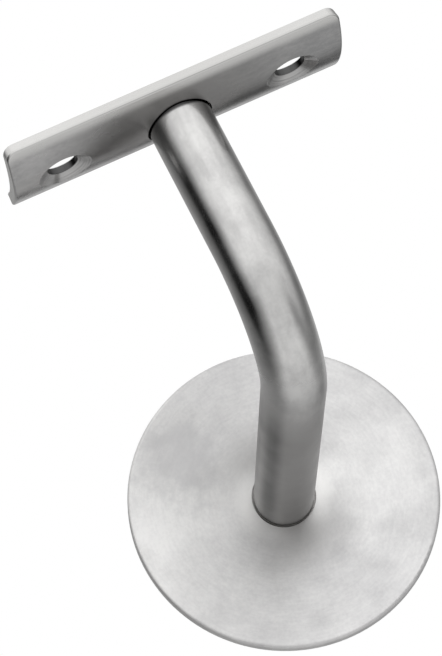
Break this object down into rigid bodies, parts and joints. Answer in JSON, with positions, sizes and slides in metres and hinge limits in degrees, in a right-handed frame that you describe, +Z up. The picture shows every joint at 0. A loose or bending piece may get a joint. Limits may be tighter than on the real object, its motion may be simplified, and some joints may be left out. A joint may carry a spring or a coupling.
{
  "type": "handrail bracket",
  "caption": "Wall bracket for a round handrail: flat wall disc, bent round stem and a curved saddle plate with countersunk screw holes.",
  "frame": {"origin": "where the stem's axis meets the wall, at the centre of the tapped hole's mouth in the plane of the wall disc's back face", "axes": "+X along the rail, +Z up, and the bracket stands out from the wall along -Y"},
  "size_m": [0.065, 0.0983, 0.083],
  "materials": {
    "saddle_steel": "brushed stainless steel",
    "stem_steel": "fine ground stainless bar",
    "disc_steel": "turned and brushed stainless steel",
    "weld_steel": "weld ground flush"
  },
  "bodies": {
    "root": {"rail_saddle": "saddle_steel", "saddle_weld": "weld_steel", "stem": "stem_steel", "disc_weld": "weld_steel", "wall_disc": "disc_steel"}
  },
  "joints": []
}
